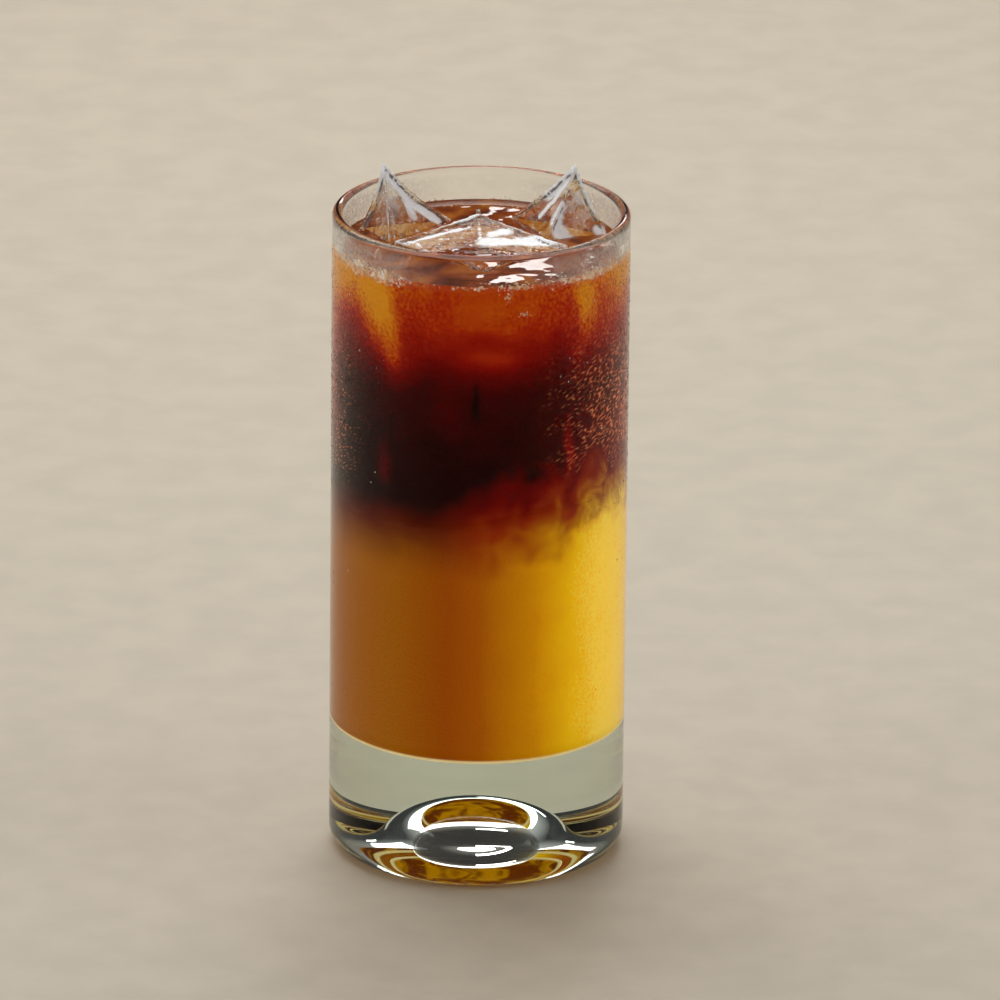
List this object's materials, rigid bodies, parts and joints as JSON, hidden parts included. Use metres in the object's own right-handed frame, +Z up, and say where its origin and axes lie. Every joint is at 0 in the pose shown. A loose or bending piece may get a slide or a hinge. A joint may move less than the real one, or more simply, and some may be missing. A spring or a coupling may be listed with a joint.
{
  "type": "iced coffee and orange juice drink in a tall glass",
  "caption": "Tall straight glass with a thick domed base, filled with orange juice under black coffee, with clear ice standing out of the top.",
  "frame": {"origin": "on the glass's axis, on the surface that its foot stands on", "axes": "+Z up along the glass, -Y towards the shown front"},
  "size_m": [0.068, 0.068, 0.161],
  "materials": {
    "glass": "clear, smooth, faintly green where it is thick",
    "juice": "cloudy orange liquid",
    "coffee": "dark red-brown liquid, amber where light comes through",
    "ice": "clear wet ice"
  },
  "bodies": {
    "root": {"glass": "glass", "juice": "juice", "coffee": "coffee", "ice_front": "ice", "ice_left": "ice", "ice_right": "ice"}
  },
  "joints": []
}
